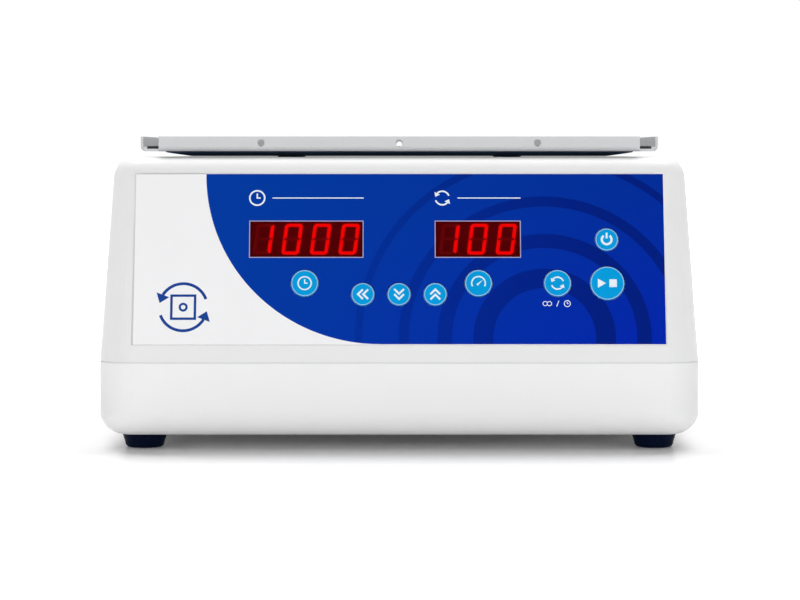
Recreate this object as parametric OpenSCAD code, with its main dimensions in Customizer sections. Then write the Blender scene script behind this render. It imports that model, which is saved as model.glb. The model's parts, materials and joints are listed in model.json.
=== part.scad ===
// Orbital bench rotator: a flat tray carried on four posts by a crank-driven deck
// inside a moulded two-piece body.
// Millimetres, front towards -Y, standing on z = 0.

/* [Body] */
// Width of the body at the seam
body_w = 266; // [262:1:272]
// Depth of the body at the seam
body_d = 265; // [262:1:265]
// Height of the seam between the base and the cover
seam_z = 39.2; // [38.4:0.2:40.4]
// Height of the flat top of the cover
top_z = 129.5; // [129:0.5:131]
// Lean of the control face back from upright, in degrees
face_lean = 15; // [14:0.5:16]
// Draft of the cover's sides and back, in degrees
draft = 3; // [2:0.5:4]
// Radius of the upright corners
corner_r = 16; // [14:1:18]
// Radius along the bottom edge of the base
base_r = 10.7; // [9:0.1:11]
// Radius along the top edges of the cover
top_r = 9.5; // [8:0.5:9.5]
// Thickness of the moulded walls
wall = 3; // [2.8:0.1:3.2]
// Width of the groove at the seam
groove = 0.5; // [0.4:0.1:0.8]
// Depth of the groove at the seam
groove_in = 0.5; // [0.4:0.1:0.8]

/* [Feet] */
// Height of the rubber feet
foot_h = 6.6; // [6:0.2:7.2]
// Diameter of a foot where it meets the base
foot_top_d = 20.2; // [19:0.2:20.6]
// Diameter of a foot at the bench
foot_low_d = 17.4; // [16:0.2:18]
// Distance of a foot from the middle, across
foot_x = 114; // [112:0.2:114.4]
// Distance of a foot from the middle, front to back
foot_y = 109; // [106:0.5:110]

/* [Tray] */
// Width and depth of the tray over its flanges
tray_w = 233.5; // [228:0.5:233.5]
// Height of the tray's flanges
flange_h = 6.6; // [6.2:0.1:8]
// Thickness of the tray's sheet
sheet_t = 1.1; // [0.9:0.1:1.3]
// Outer radius of the tray's bends
bend_r = 2.2; // [1.8:0.1:2.4]
// Length left out of each flange at a corner
tray_notch = 8.8; // [7:0.2:10]
// Diameter of the tie holes in the flanges
tie_d = 3.2; // [2.8:0.1:3.4]
// Distance between the tie holes
tie_pitch = 62; // [58:0.5:66]
// Thickness of the rubber mat
mat_t = 1.2; // [1:0.1:1.6]
// Gap between the cover and the tray
tray_gap = 2.6; // [2.6:0.1:3.4]
// Thickness of the dark carrier plate under the tray
carrier_t = 2.2; // [1.6:0.1:2.2]
// Width and depth of the carrier plate
carrier_w = 213; // [204:1:216]
// Width of the slope round the carrier plate's underside
carrier_slope = 12; // [4:0.5:14]

/* [Drive] */
// Distance of the main shaft behind the middle of the body
drive_y = 6; // [5:0.5:6]
// Radius of the circle that the tray moves round
orbit_r = 9.5; // [9:0.25:10]
// Diameter of the four posts
post_d = 9.4; // [8.6:0.1:10]
// Distance of a post from the deck's middle, across and front to back
post_reach = 52.5; // [52:0.5:54]
// Radius of the large pulley
pulley_r = 48; // [46:0.5:49]
// Radius of the motor's pulley
pinion_r = 8; // [7:0.5:8]
// Distance of the motor behind the main shaft
motor_y = 84; // [82:0.5:85]
// Diameter of the motor
motor_d = 50; // [46:1:51]

/* [Control face] */
// Width of the control panel
panel_w = 235.2; // [234:0.2:237]
// Height of the control panel, along its slope
panel_h = 77.7; // [76.5:0.1:77.7]
// Height of the middle of the control panel
panel_z = 84.6; // [84:0.1:84.6]
// Width of the time window
time_w = 50.7; // [49:0.1:51]
// Width of the speed window
speed_w = 38.2; // [37:0.1:39]
// Height of both windows
window_h = 16.9; // [16:0.1:17]
// Travel of a key
key_travel = 0.5; // [0.3:0.05:0.5]
// Diameter of the openings for the arrow and power keys
small_key_d = 10.8; // [10.4:0.1:11]
// Diameter of the openings for the timer, speed and mode keys
mid_key_d = 12.6; // [12.2:0.1:13]
// Diameter of the opening for the start key
start_key_d = 15.7; // [15:0.1:16]

/* [Hidden] */
$fn = 64;

// Clearances: a running fit on a pin, a seat for a fixed part, and open air between neighbours
run_fit = 0.05;
seat_gap = 0.3;
air = 0.4;
// How far a cut or a joined shape reaches past the face it starts from
past = 1;

// Heights, from the bench up
floor_z = foot_h + wall;
boss_top = floor_z + 4;
rim_z = seam_z - groove / 2;
skirt_z = seam_z + groove / 2;
ceiling_z = top_z - wall;
tongue_h = 3;
ledge_h = 4;
ledge_out = wall - 0.5;
tongue_out = wall + 1.3;
tongue_in = wall + 2.6;
tray_z = top_z + tray_gap;
carrier_z = tray_z - carrier_t;
tray_bite = 6.4;
carrier_corner_r = 12;
mat_gap = 1;
mat_corner_r = 2;
mat_hole_d = 11;
tie_rise = 0.4;
// Height of the upright rim that the carrier plate's slope leaves
carrier_rim = 0.4;
deck_z = 70;
deck_t = 3;
deck_top = deck_z + deck_t;

// Main bearings, their housing and the large pulley
bearing_d = 28;
bearing_bore = 12;
bearing_h = 8;
housing_t = 4;
housing_top = deck_top + housing_t;
housing_low = deck_z - 23;
housing_tube_d = 36;
housing_flange_d = 62;
housing_bolt_r = 25;
pulley_z = housing_top + 4;
pulley_rim = 8;
pulley_lip = 1;
pulley_top = pulley_z + pulley_rim + 2 * pulley_lip;
pulley_flange = 2.5;
pulley_hole_in = 16;
pulley_hole_d = 17;
shoulder_d = 17;
shaft_nose_d = 8;
clip_z = housing_low - 2.4;
clip_t = 1.2;
clip_bite = 1.4;
pin_root_d = 6;
pin_collar_d = 13;
weight_h = 8;
belt_w = 6;
belt_t = 1.6;
belt_z = pulley_z + pulley_lip + (pulley_rim - belt_w) / 2;
belt_gap = 0.3;

// Orbiting deck
orbit_z = pulley_top + weight_h + 5;
orbit_t = 5;
orbit_top = orbit_z + orbit_t;
orbit_w = 168;
orbit_d = 160;
orbit_hole = 34;
orbit_side_hole = 66;
orbit_hole_d = 21;
pin_bearing_d = 22;
pin_d = 8;
pin_bearing_h = 7;
pin_bearing_z = orbit_top - 0.5 - pin_bearing_h;
hub_d = 30;
idler_x = 70;
idler_y = 66;
idler_pin_d = 8;
idler_flange_d = 26;
idler_flange_t = 3;
idler_housing_d = 18;
idler_seat_d = 14;
idler_web_r = 9;
idler_collar_d = 13;
bush_floor = 2;
bush_d = 12;
bush_flange_t = 1;
idler_housing_h = 15;
idler_arm_z = deck_top + idler_housing_h + 1;
idler_arm_t = 6;
hole_d = post_d + 2 * orbit_r + 3.2;

// Fixings inside the body
deck_w = 196;
plate_corner_r = 8;
deck_front = 90;
deck_back = 112;
deck_post_x = 88;
deck_post_front = 80;
deck_post_back = 100;
deck_boss_d = 15;
deck_hole_x = 58;
deck_hole_d = 26;
post_hex = 11;
post_thread = 12;
post_sink = 2.4;
head_room_d = 8;
foot_boss_d = 12;
foot_boss_h = 6;
foot_sink = 3;
foot_bite = 4;
foot_head_d = 9;
foot_edge_r = 2;
cover_boss_x = 116;
cover_boss_y = 62;
cover_boss_d = 10;
cover_boss_top = 75;
cover_sink = 5;
cover_bite = 12;
rib_t = 2;
outside_facets = 48;
inside_facets = 32;
rib_rise = 6;
vent_pitch = 8;
vent_span = 48;
vent_w = 3.4;
vent_l = 22;
vent_y = -86;
screw_d = 4;
small_screw_d = 3;
motor_low = 22;
motor_bolt = 16;
motor_shaft_d = 6;
motor_collar_d = 18;
motor_hub_d = 16;
motor_hub_h = 3;
motor_bite = 5;
shaft_sink = 18;
board_w = 110;
board_d = 76;
board_y = -22;
board_lift = 6;
spacer_d = 6;
spacer_floor = 0.6;
board_fix_x = 50;
board_fix_y = 33;
weight_screw_x = 28;
weight_screw_y = 22;
weight_head_sink = 2.2;
weight_back = 12;
weight_bite = 5;
jack_x = 78;
jack_z = 25;
jack_rim_d = 13;
jack_rim_t = 1.6;
jack_d = 8;
jack_len = 18;
jack_pad_d = 20;
jack_pad_t = 2.5;
jack_nut_t = 2.2;
jack_hole_d = 5.6;
jack_pin_d = 2.1;
jack_depth = 10;

// Control face: distances in from the face's plane
recess = 0.6;
panel_t = 0.8;
display_in = recess + 0.3;
display_t = 8;
display_h = 19;
cell_wall = 1;
cell_sink = 0.15;
pcb_in = display_in + display_t;
pcb_t = 1.6;
pcb_left = -77;
pcb_right = 105;
pcb_low = -28;
pcb_high = 22;
board_edge = 4;
board_post_d = 6;
board_screw_d = 2.5;
board_bite = 3;
time_u = -41.2;
speed_u = 34.8;
window_v = 8.8;
module_less = 0.4;
time_module_w = time_w - module_less;
speed_module_w = speed_w - module_less;
key_v = -11.2;
arrow_v = -16.2;
arrow_pitch = 16;
key_gap = 0.3;
key_proud = 0.25;
key_edge = 0.2;
key_t = 1;
key_sink = 1;
stem_d = 3.2;
switch_h = 4.5;
stem_in = pcb_in - switch_h - key_travel - 0.3;

// Each key: distance across, distance up the slope, diameter of its opening
TIMER = [time_u - 0.6, key_v, mid_key_d];
LEFT = [-0.1 - arrow_pitch, arrow_v, small_key_d];
DOWN = [-0.1, arrow_v, small_key_d];
UP = [-0.1 + arrow_pitch, arrow_v, small_key_d];
SPEED = [speed_u + 0.2, key_v, mid_key_d];
MODE = [69.9, key_v, mid_key_d];
POWER = [91.9, 8.6, small_key_d];
START = [91.9, key_v, start_key_d];
KEYS = [TIMER, LEFT, DOWN, UP, SPEED, MODE, POWER, START];

// Places of the six board fixings on the control face
BOARD_FIXINGS = [
    for (u = [pcb_left + board_edge, 0, pcb_right - board_edge])
        for (v = [pcb_low + board_edge, pcb_high - board_edge])
            [u, v]
];

// Colours
white_shell = [0.93, 0.93, 0.93];
steel = [0.75, 0.76, 0.78];
dark_rubber = [0.08, 0.08, 0.09];
panel_blue = [0.02, 0.2, 0.66];
key_blue = [0.03, 0.59, 0.84];
board_green = [0.05, 0.35, 0.2];

// ---------- Shared shapes ----------

// Flat rectangle with round corners
module round_rect(w, d, r) {
    square([w - 2 * r, d], center = true);
    square([w, d - 2 * r], center = true);
    for (x = [-1, 1], y = [-1, 1])
        translate([x * (w / 2 - r), y * (d / 2 - r)]) circle(r);
}

// Outline of a wall section with rounded lower corners
module tub_section(w, h, r) {
    translate([-w / 2, r]) square([w, h - r]);
    translate([r - w / 2, 0]) square([w - 2 * r, h]);
    for (x = [-1, 1])
        translate([x * (w / 2 - r), r]) circle(r);
}

// Block with round upright corners of radius r and a bottom edge of radius rb
module tub_block(w, d, h, r, rb) {
    rotate([90, 0, 0]) linear_extrude(height = d - 2 * r, center = true) tub_section(w, h, rb);
    rotate([90, 0, 90]) linear_extrude(height = w - 2 * r, center = true) tub_section(d, h, rb);
    for (x = [-1, 1], y = [-1, 1])
        translate([x * (w / 2 - r), y * (d / 2 - r), 0])
            rotate_extrude() {
                square([r - rb, h]);
                translate([0, rb]) square([r, h - rb]);
                intersection() {
                    translate([r - rb, rb]) circle(rb);
                    square([r, h]);
                }
            }
}

// Disc with a rounded upper edge
module pebble(r, h, rt) {
    rotate_extrude() {
        square([r - rt, h]);
        square([r, h - rt]);
        intersection() {
            translate([r - rt, h - rt]) circle(rt);
            square([r, h]);
        }
    }
}

// The cover's shape, shrunk by t on every face and starting at height z0
module cover_form(t, z0, facets) {
    rise = top_z - top_r - seam_z;
    low = z0 - seam_z;
    side_low = body_w / 2 - low * tan(draft) - t / cos(draft) - corner_r + t;
    back_low = body_d / 2 - low * tan(draft) - t / cos(draft) - corner_r + t;
    front_low = body_d / 2 - low * tan(face_lean) - t / cos(face_lean) - corner_r + t;
    side_top = body_w / 2 - (top_r + rise * sin(draft)) / cos(draft) - corner_r + top_r;
    back_top = body_d / 2 - (top_r + rise * sin(draft)) / cos(draft) - corner_r + top_r;
    front_top = body_d / 2 - (top_r + rise * sin(face_lean)) / cos(face_lean) - corner_r + top_r;
    hull() for (x = [-1, 1]) {
        translate([x * side_low, back_low, z0]) cylinder(r = corner_r - t, h = 0.01, $fn = facets);
        translate([x * side_low, -front_low, z0]) cylinder(r = corner_r - t, h = 0.01, $fn = facets);
        translate([x * side_top, back_top, top_z - top_r - 1])
            pebble(corner_r - t, top_r - t + 1, top_r - t, $fn = facets);
        translate([x * side_top, -front_top, top_z - top_r - 1])
            pebble(corner_r - t, top_r - t + 1, top_r - t, $fn = facets);
    }
}

// Puts its children on the control face: X across, Y up the slope, Z out of the face
module on_face() {
    translate([0, (panel_z - seam_z) * tan(face_lean) - body_d / 2, panel_z])
        rotate([90 - face_lean, 0, 0]) children();
}

// Round-headed screw with a hexagon socket, its head's underside at z = 0 and its shank downwards
module screw(d, len) {
    difference() {
        union() {
            cylinder(d = 1.7 * d, h = 0.5 * d);
            translate([0, 0, -len]) cylinder(d = d, h = len + 0.1);
        }
        translate([0, 0, 0.2 * d]) cylinder(d = 0.7 * d, h = d, $fn = 6);
    }
}

// Ball bearing with sunk shields, its lower face at z = 0
module bearing(outer, inner, h) {
    mid = (outer + inner) / 4;
    half = (outer - inner) / 8;
    difference() {
        cylinder(d = outer, h = h);
        translate([0, 0, -1]) cylinder(d = inner + 2 * run_fit, h = h + 2);
        for (z = [-1, h - 0.4])
            translate([0, 0, z]) difference() {
                cylinder(r = mid + half, h = 1.4);
                cylinder(r = mid - half, h = 1.4);
            }
    }
}

// Repeats its children at four places, x and y from the middle
module at_corners(x, y) {
    for (sx = [-1, 1], sy = [-1, 1])
        translate([sx * x, sy * y, 0]) children();
}

// Puts its children on the main shaft's line
module driven() {
    translate([0, drive_y, 0]) children();
}

// Puts its children on the orbiting deck's line, at its place behind the main shaft
module orbiting() {
    translate([0, drive_y + orbit_r, 0]) children();
}

// Repeats its children at four bolts on a circle of radius r
module at_bolts(r) {
    for (a = [45 : 90 : 315]) rotate(a) translate([r, 0, 0]) children();
}

// Repeats its children at the four posts of the fixed deck
module at_deck_posts() {
    for (sx = [-1, 1], y = [-deck_post_front, deck_post_back])
        translate([sx * deck_post_x, drive_y + y, 0]) children();
}

// Repeats its children at the four driver board fixings
module at_board_fixings() {
    translate([0, board_y, 0]) at_corners(board_fix_x, board_fix_y) children();
}

// Flat outline round two pulleys at distance motor_y
module belt_outline(big, small) {
    lean = asin((big - small) / motor_y);
    circle(big);
    translate([0, motor_y]) circle(small);
    polygon([
        [big * cos(lean), big * sin(lean)],
        [small * cos(lean), motor_y + small * sin(lean)],
        [-small * cos(lean), motor_y + small * sin(lean)],
        [-big * cos(lean), big * sin(lean)]
    ]);
}

// ---------- Body ----------

module base_tub() {
    color(white_shell) difference() {
        union() {
            difference() {
                translate([0, 0, foot_h])
                    tub_block(body_w, body_d, rim_z - foot_h, corner_r, base_r);
                translate([0, 0, floor_z])
                    tub_block(body_w - 2 * wall, body_d - 2 * wall, rim_z, corner_r - wall, base_r - wall);
            }
            // Ledge, land that the cover rests on, and upright tongue that centres it
            rim_band(ledge_out, rim_z - ledge_h, ledge_h);
            rim_band(groove_in, rim_z - past, groove + past);
            rim_band(tongue_out, rim_z - past, tongue_h + past);
            at_deck_posts() floor_boss(deck_boss_d, boss_top);
            at_corners(foot_x, foot_y) floor_boss(foot_boss_d, floor_z + foot_boss_h);
            at_corners(cover_boss_x, cover_boss_y) floor_boss(cover_boss_d, rim_z);
            boss_ribs(body_w / 2 - wall + past, floor_z, rim_z);
            // Pad behind the power socket
            translate([jack_x, body_d / 2 - wall + 0.5, jack_z])
                rotate([90, 0, 0]) cylinder(d = jack_pad_d, h = jack_pad_t);
        }
        at_deck_posts() sunk_hole(screw_d + 0.4, boss_top, post_sink);
        at_corners(foot_x, foot_y) sunk_hole(screw_d, floor_z + foot_bite, 0);
        at_corners(cover_boss_x, cover_boss_y) sunk_hole(screw_d + 0.4, rim_z, cover_sink);
        // Power socket and its sunk seat
        translate([jack_x, body_d / 2 + past, jack_z]) rotate([90, 0, 0]) {
            cylinder(d = jack_d, h = wall + jack_pad_t + 2 * past);
            cylinder(d = jack_rim_d + 2 * air, h = past + jack_rim_t);
        }
        // Vents in the floor
        for (x = [-vent_span : vent_pitch : vent_span])
            translate([x, vent_y, foot_h + wall / 2]) cube([vent_w, vent_l, wall + 2 * past], center = true);
    }
}

// Boss on the base's floor, up to height top
module floor_boss(d, top) {
    translate([0, 0, floor_z - past]) cylinder(d = d, h = top - floor_z + past);
}

// Band round the rim, from its own distance inside the body's outline to the tongue's inner face
module rim_band(inset, z, h) {
    translate([0, 0, z]) linear_extrude(height = h) difference() {
        round_rect(body_w - 2 * inset, body_d - 2 * inset, corner_r - inset);
        round_rect(body_w - 2 * tongue_in, body_d - 2 * tongue_in, corner_r - tongue_in);
    }
}

// Ribs between the cover's bosses and the side walls, which end at x = reach
module boss_ribs(reach, low, high) {
    for (x = [-1, 1], y = [-1, 1])
        translate([x * (cover_boss_x + reach) / 2, y * cover_boss_y, (low + high) / 2])
            cube([reach - cover_boss_x, rib_t, high - low], center = true);
}

// Hole up through the base's floor to height top, with a sunk seat for a screw head
module sunk_hole(d, top, sink) {
    translate([0, 0, foot_h - past]) {
        cylinder(d = d, h = top - foot_h + 2 * past);
        if (sink > 0) cylinder(d = head_room_d, h = past + sink);
    }
}

module upper_cover() {
    color(white_shell) difference() {
        union() {
            difference() {
                cover_form(0, skirt_z, outside_facets);
                cover_form(wall, skirt_z - past, inside_facets);
            }
            at_corners(cover_boss_x, cover_boss_y)
                translate([0, 0, rim_z]) cylinder(d = cover_boss_d, h = cover_boss_top - rim_z);
            boss_ribs(body_w / 2 - wall + 0.5, skirt_z + rib_rise, cover_boss_top);
            on_face() for (p = BOARD_FIXINGS)
                translate([p[0], p[1], -pcb_in]) cylinder(d = board_post_d, h = pcb_in - wall + 0.5);
        }
        at_corners(cover_boss_x, cover_boss_y)
            translate([0, 0, rim_z - past]) cylinder(d = screw_d, h = cover_bite + 4);
        driven() at_corners(post_reach, post_reach)
            translate([0, 0, ceiling_z - past]) cylinder(d = hole_d, h = wall + 2 * past);
        on_face() {
            translate([0, 0, (past - recess) / 2])
                cube([panel_w + 2 * seat_gap, panel_h + 2 * seat_gap, recess + past], center = true);
            module_opening(time_u, time_module_w);
            module_opening(speed_u, speed_module_w);
            for (k = KEYS) translate([k[0], k[1], 0]) {
                translate([0, 0, -recess - key_sink])
                    cylinder(d = k[2] + 2 * seat_gap, h = key_sink + recess + past);
                translate([0, 0, -wall - past]) cylinder(d = stem_d + 2 * air, h = wall + past);
            }
            for (p = BOARD_FIXINGS)
                translate([p[0], p[1], -pcb_in - past])
                    cylinder(d = board_screw_d, h = board_bite + 2 * past);
        }
    }
}

// Opening through the control face for a digit module
module module_opening(u, w) {
    translate([u, window_v, -wall / 2])
        cube([w + 2 * air, display_h + 2 * air, wall + 2 * past], center = true);
}

module cover_screws() {
    color(steel) at_corners(cover_boss_x, cover_boss_y)
        translate([0, 0, foot_h + cover_sink]) mirror([0, 0, 1])
            screw(screw_d, rim_z + cover_bite - foot_h - cover_sink);
}

module feet() {
    low_r = foot_low_d / 2;
    color(dark_rubber) at_corners(foot_x, foot_y) difference() {
        rotate_extrude() {
            polygon([
                [0, 0], [low_r - foot_edge_r, 0], [low_r, foot_edge_r],
                [foot_top_d / 2, foot_h], [0, foot_h]
            ]);
            translate([low_r - foot_edge_r, foot_edge_r]) circle(foot_edge_r);
        }
        translate([0, 0, -past]) cylinder(d = foot_head_d, h = past + foot_sink);
        translate([0, 0, -past]) cylinder(d = screw_d, h = foot_h + 2 * past);
    }
}

module foot_screws() {
    color(steel) at_corners(foot_x, foot_y)
        translate([0, 0, foot_sink]) mirror([0, 0, 1]) screw(screw_d, floor_z + foot_bite - foot_sink);
}

module power_jack() {
    color(dark_rubber) translate([jack_x, body_d / 2, jack_z]) rotate([90, 0, 0]) {
        difference() {
            union() {
                cylinder(d = jack_rim_d, h = jack_rim_t);
                cylinder(d = jack_d, h = jack_len);
            }
            translate([0, 0, -past]) cylinder(d = jack_hole_d, h = past + jack_depth);
        }
        translate([0, 0, 1]) cylinder(d = jack_pin_d, h = jack_depth);
        for (x = [-2, 2]) translate([x, 0, jack_len + 2]) cube([0.6, 2, 5], center = true);
    }
}

module jack_nut() {
    pad_y = body_d / 2 - wall - jack_pad_t + 0.5;
    color(steel) translate([jack_x, pad_y, jack_z]) rotate([90, 0, 0]) difference() {
        cylinder(d = jack_rim_d, h = jack_nut_t, $fn = 6);
        translate([0, 0, -past]) cylinder(d = jack_d, h = jack_nut_t + 2 * past);
    }
}

// ---------- Fixed deck, bearings and motor ----------

module deck_plate() {
    through = deck_t + 2 * past;
    color(steel) translate([0, 0, deck_z]) difference() {
        driven() linear_extrude(height = deck_t) translate([0, (deck_back - deck_front) / 2])
            round_rect(deck_w, deck_back + deck_front, plate_corner_r);
        at_deck_posts() translate([0, 0, -past]) cylinder(d = screw_d + 0.2, h = through);
        driven() translate([0, 0, -past]) {
            cylinder(d = housing_tube_d, h = through);
            at_bolts(housing_bolt_r) cylinder(d = screw_d, h = through);
            translate([0, motor_y, 0]) {
                cylinder(d = motor_collar_d, h = through);
                at_bolts(motor_bolt) cylinder(d = small_screw_d + 0.2, h = through);
            }
            at_corners(idler_x, idler_y) cylinder(d = idler_seat_d, h = through);
            // Lightening holes
            for (x = [-1, 1]) translate([x * deck_hole_x, 0, 0]) cylinder(d = deck_hole_d, h = through);
        }
    }
}

module deck_posts() {
    color(steel) at_deck_posts() difference() {
        translate([0, 0, boss_top]) cylinder(d = post_hex, h = deck_z - boss_top, $fn = 6);
        for (z = [boss_top - past, deck_z - post_thread])
            translate([0, 0, z]) cylinder(d = screw_d, h = post_thread + past);
    }
}

module deck_screws() {
    color(steel) at_deck_posts() translate([0, 0, deck_top]) screw(screw_d, post_thread);
}

module deck_post_screws() {
    color(steel) at_deck_posts()
        translate([0, 0, foot_h + post_sink]) mirror([0, 0, 1])
            screw(screw_d, boss_top - foot_h - post_sink + post_thread - 2.6);
}

module main_housing() {
    inside_h = housing_top - housing_low;
    color(steel) driven() difference() {
        union() {
            translate([0, 0, deck_top]) cylinder(d = housing_flange_d, h = housing_t);
            translate([0, 0, housing_low]) cylinder(d = housing_tube_d, h = inside_h);
        }
        translate([0, 0, housing_low - past]) cylinder(d = bearing_d - 4, h = inside_h + 2 * past);
        translate([0, 0, housing_low - past]) cylinder(d = bearing_d, h = bearing_h + past);
        translate([0, 0, housing_top - bearing_h]) cylinder(d = bearing_d, h = bearing_h + past);
        translate([0, 0, deck_top - past]) at_bolts(housing_bolt_r)
            cylinder(d = screw_d + 0.2, h = housing_t + 2 * past);
    }
}

module main_bearings() {
    color("silver") driven() for (z = [housing_low, housing_top - bearing_h])
        translate([0, 0, z]) bearing(bearing_d, bearing_bore, bearing_h);
}

module housing_screws() {
    color(steel) driven() translate([0, 0, housing_top]) at_bolts(housing_bolt_r)
        screw(screw_d, housing_t + deck_t);
}

module idler_housings() {
    color(steel) driven() at_corners(idler_x, idler_y) difference() {
        union() {
            translate([0, 0, deck_top]) cylinder(d = idler_flange_d, h = idler_flange_t);
            translate([0, 0, deck_top]) cylinder(d = idler_housing_d, h = idler_housing_h);
            translate([0, 0, deck_z]) cylinder(d = idler_seat_d, h = deck_t + past);
        }
        translate([0, 0, deck_z - past]) cylinder(d = bush_d, h = idler_housing_h + deck_t + 2 * past);
    }
}

module idler_bushes() {
    color("goldenrod") driven() at_corners(idler_x, idler_y) difference() {
        translate([0, 0, deck_z]) cylinder(d = bush_d, h = idler_housing_h + deck_t);
        translate([0, 0, deck_z + bush_floor])
            cylinder(d = idler_pin_d + 2 * run_fit, h = idler_housing_h + deck_t);
    }
}

module motor() {
    color([0.25, 0.26, 0.28]) driven() translate([0, motor_y, 0]) difference() {
        union() {
            translate([0, 0, motor_low]) cylinder(d = motor_d, h = deck_z - motor_low);
            translate([0, 0, deck_z - past]) cylinder(d = motor_collar_d, h = deck_t);
            translate([0, 0, motor_low - motor_hub_h]) cylinder(d = motor_hub_d, h = motor_hub_h + past);
        }
        translate([0, 0, deck_z - shaft_sink - 2]) cylinder(d = motor_shaft_d + 2 * run_fit, h = 30);
        translate([0, 0, deck_z - motor_bite - past]) at_bolts(motor_bolt)
            cylinder(d = small_screw_d, h = motor_bite + 2 * past);
    }
}

module motor_screws() {
    color(steel) driven() translate([0, motor_y, deck_top]) at_bolts(motor_bolt)
        screw(small_screw_d, deck_t + motor_bite);
}

module drive_belt() {
    color(dark_rubber) driven() translate([0, 0, belt_z]) linear_extrude(height = belt_w) difference() {
        belt_outline(pulley_r + belt_gap + belt_t, pinion_r + belt_gap + belt_t);
        belt_outline(pulley_r + belt_gap, pinion_r + belt_gap);
    }
}

module driver_board() {
    // Parts on the board: place of the near left corner, size
    blocks = [
        [[-30, 12], [30, 14, 14]], [[-44, -24], [24, 12, 9]],
        [[0, -6], [12, 12, 2]], [[34, 0], [10, 20, 8]]
    ];
    color(board_green) translate([0, board_y, floor_z + board_lift]) difference() {
        union() {
            translate([0, 0, pcb_t / 2]) cube([board_w, board_d, pcb_t], center = true);
            for (b = blocks) translate([b[0][0], b[0][1], pcb_t - 0.1]) cube(b[1]);
            for (x = [18, 34]) translate([x, -28, pcb_t - 0.1]) cylinder(d = 12, h = 16);
        }
        at_corners(board_fix_x, board_fix_y) translate([0, 0, -past])
            cylinder(d = small_screw_d + 0.2, h = pcb_t + 2 * past);
    }
}

module driver_spacers() {
    color(steel) at_board_fixings() difference() {
        translate([0, 0, floor_z]) cylinder(d = spacer_d, h = board_lift);
        translate([0, 0, floor_z + spacer_floor]) cylinder(d = small_screw_d, h = board_lift);
    }
}

module driver_screws() {
    color(steel) at_board_fixings()
        translate([0, 0, floor_z + board_lift + pcb_t])
            screw(small_screw_d, pcb_t + board_lift - spacer_floor - 0.5);
}

// ---------- Control face ----------

module control_panel() {
    color(panel_blue) on_face() difference() {
        translate([0, 0, panel_t / 2 - recess]) cube([panel_w, panel_h, panel_t], center = true);
        translate([time_u, window_v, 0]) cube([time_w, window_h, 4], center = true);
        translate([speed_u, window_v, 0]) cube([speed_w, window_h, 4], center = true);
        for (k = KEYS)
            translate([k[0], k[1], -2]) cylinder(d = k[2], h = 4);
    }
}

module window_pane(u, w) {
    color([0.4, 0.02, 0.05]) on_face()
        translate([u, window_v, panel_t / 2 - recess]) cube([w, window_h, panel_t], center = true);
}

module time_window() {
    window_pane(time_u, time_w);
}

module speed_window() {
    window_pane(speed_u, speed_w);
}

// Digit module with a sunk cell for each digit
module digit_module(u, w, digits) {
    pitch = w / digits;
    color([0.12, 0.12, 0.13]) on_face() translate([u, window_v, -display_in]) difference() {
        translate([0, 0, -display_t / 2]) cube([w, display_h, display_t], center = true);
        for (i = [0 : digits - 1]) translate([(i + 0.5) * pitch - w / 2, 0, 0])
            cube([pitch - cell_wall, display_h - 2 * cell_wall, 2 * cell_sink], center = true);
    }
}

module time_display() {
    digit_module(time_u, time_module_w, 4);
}

module speed_display() {
    digit_module(speed_u, speed_module_w, 3);
}

module control_board() {
    // Parts behind the board: place of the near left corner, size
    blocks = [[[60, -3], [12, 12, 2]], [[-60, -16], [20, 6, 5]], [[-20, 2], [14, 9, 1.6]]];
    color(board_green) on_face() translate([0, 0, -pcb_in]) difference() {
        union() {
            translate([pcb_left, pcb_low, -pcb_t]) cube([pcb_right - pcb_left, pcb_high - pcb_low, pcb_t]);
            for (k = KEYS) translate([k[0], k[1], 0]) {
                translate([0, 0, (switch_h - 1) / 2 - 0.05]) cube([6, 6, switch_h - 0.9], center = true);
                cylinder(d = stem_d, h = switch_h);
            }
            for (b = blocks) translate([b[0][0], b[0][1], -pcb_t - b[1][2]]) cube(b[1] + [0, 0, 0.1]);
        }
        for (p = BOARD_FIXINGS)
            translate([p[0], p[1], -pcb_t - past]) cylinder(d = board_screw_d + 0.2, h = pcb_t + 2 * past);
    }
}

module board_screws() {
    color(steel) on_face() for (p = BOARD_FIXINGS)
        translate([p[0], p[1], -pcb_in - pcb_t]) mirror([0, 0, 1]) screw(board_screw_d, pcb_t + board_bite);
}

module key(k) {
    r = k[2] / 2 - key_gap;
    top = panel_t - recess + key_proud;
    color(key_blue) on_face() translate([k[0], k[1], 0]) {
        translate([0, 0, top - key_t]) cylinder(r = r, h = key_t - key_edge);
        translate([0, 0, top - key_edge]) cylinder(r1 = r, r2 = r - key_edge, h = key_edge);
        translate([0, 0, -stem_in]) cylinder(d = stem_d, h = stem_in + top - 0.5);
    }
}

module key_timer() {
    key(TIMER);
}

module key_left() {
    key(LEFT);
}

module key_down() {
    key(DOWN);
}

module key_up() {
    key(UP);
}

module key_speed() {
    key(SPEED);
}

module key_mode() {
    key(MODE);
}

module key_power() {
    key(POWER);
}

module key_start() {
    key(START);
}

// ---------- Crank ----------

module crank_shaft() {
    shoulder_z = housing_top + air;
    color("silver") driven() difference() {
        union() {
            translate([0, 0, housing_low - 4]) cylinder(d = bearing_bore, h = shoulder_z - housing_low + 4.1);
            translate([0, 0, shoulder_z]) cylinder(d = shoulder_d, h = pulley_z - shoulder_z);
            translate([0, 0, pulley_z - past]) cylinder(d = shaft_nose_d, h = pulley_top - pulley_z + past);
        }
        translate([0, 0, clip_z]) difference() {
            cylinder(d = bearing_bore + 2, h = clip_t);
            translate([0, 0, -past]) cylinder(d = bearing_bore - clip_bite, h = clip_t + 2 * past);
        }
    }
}

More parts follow.
